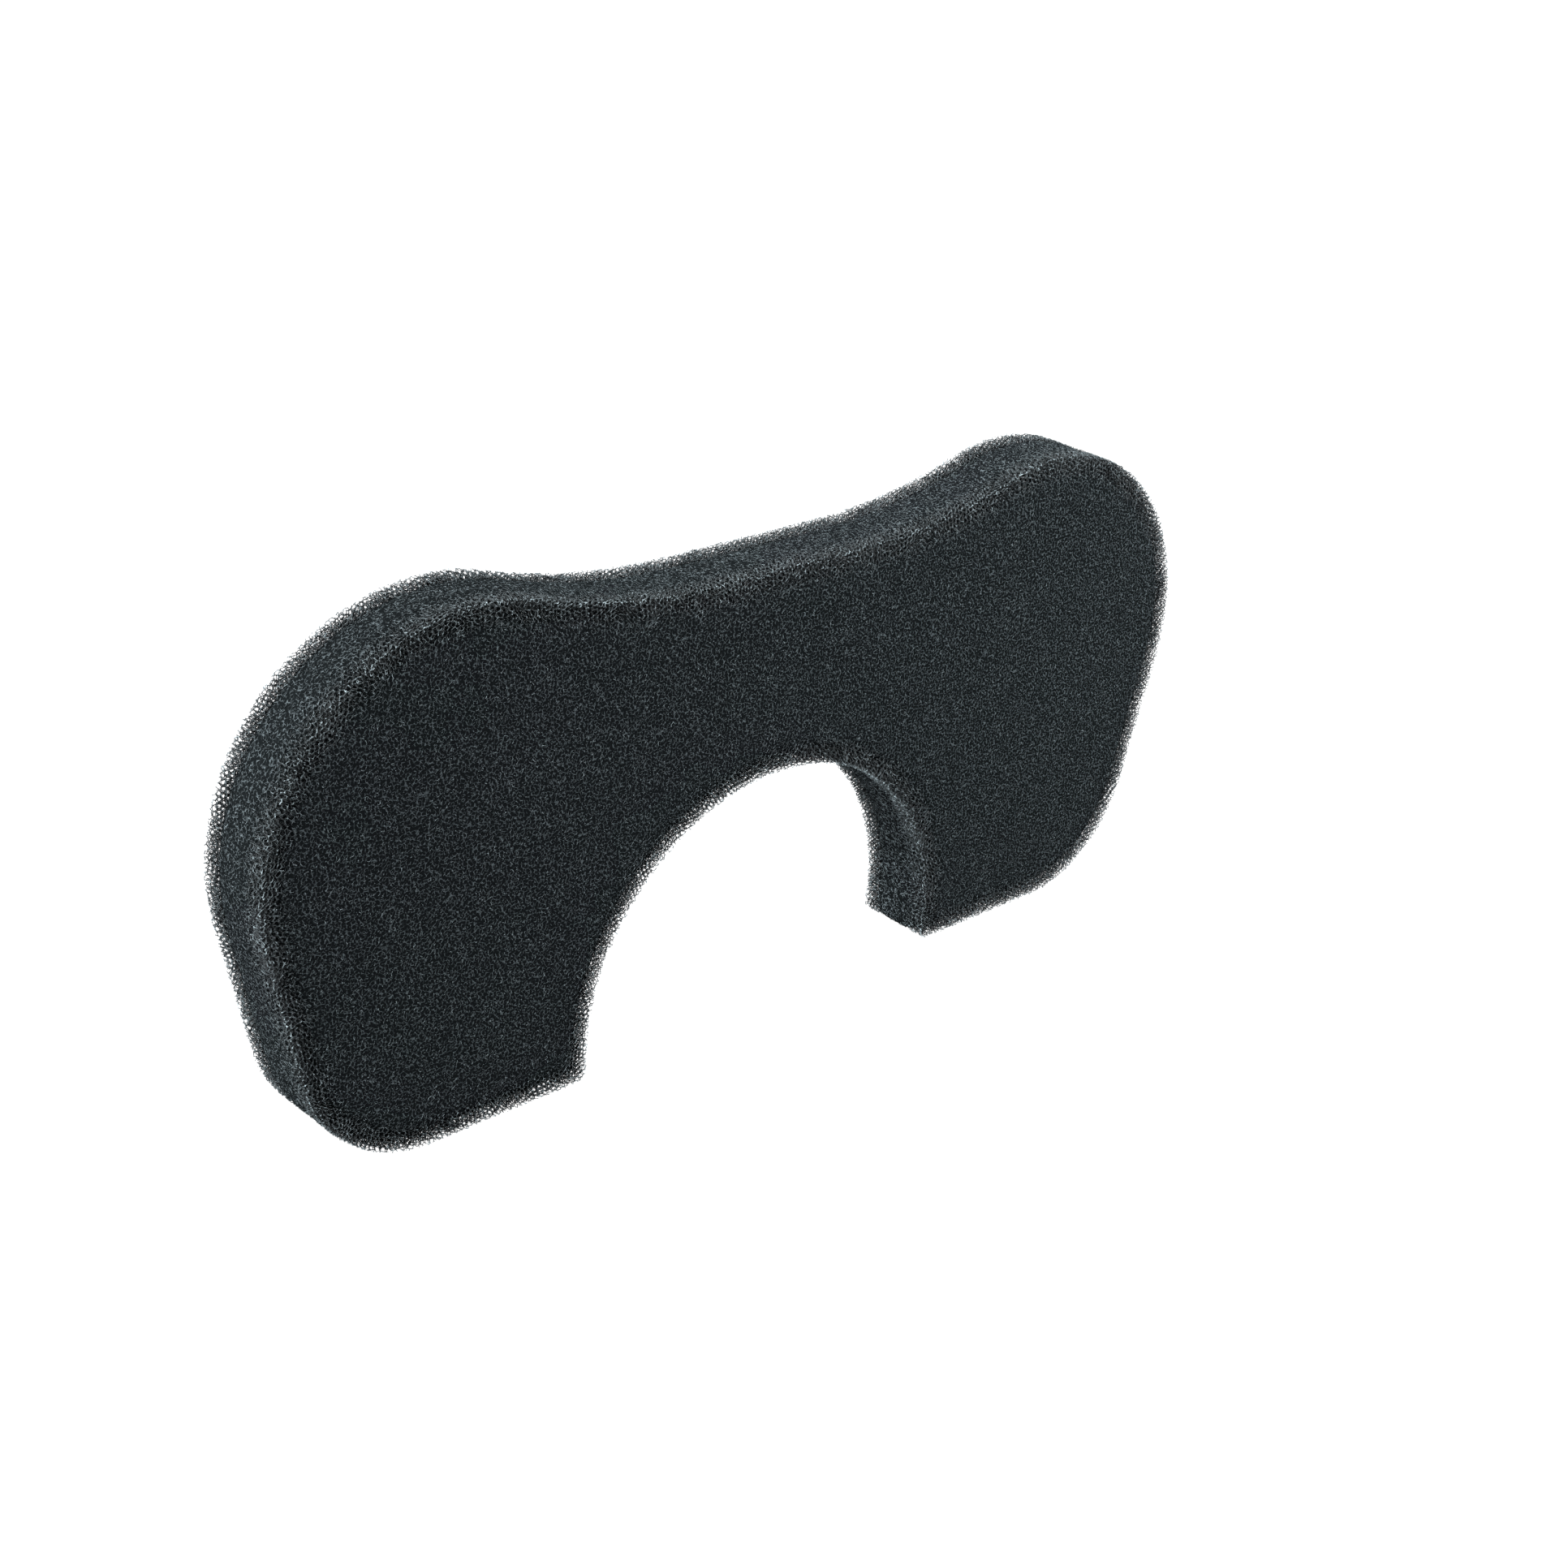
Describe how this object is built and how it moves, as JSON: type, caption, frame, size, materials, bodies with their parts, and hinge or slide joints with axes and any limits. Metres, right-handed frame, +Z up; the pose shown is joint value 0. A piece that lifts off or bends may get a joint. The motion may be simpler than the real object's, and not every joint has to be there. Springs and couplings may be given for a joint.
{
  "type": "filter sponge",
  "caption": "Upright slab of black open-cell foam cut to a goggle-shaped outline, with two rounded lobes, a dipped top edge and a round arch between its two flat feet.",
  "frame": {"origin": "middle of the footprint, on the plane that the two feet stand on", "axes": "+X along the pad's length, +Y from the front face to the back face, +Z up through the lobes"},
  "size_m": [0.272, 0.02, 0.12],
  "materials": {
    "foam": "matt open-cell polyurethane foam, about 30 pores per inch"
  },
  "bodies": {
    "root": {"foam_pad": "foam"}
  },
  "joints": []
}
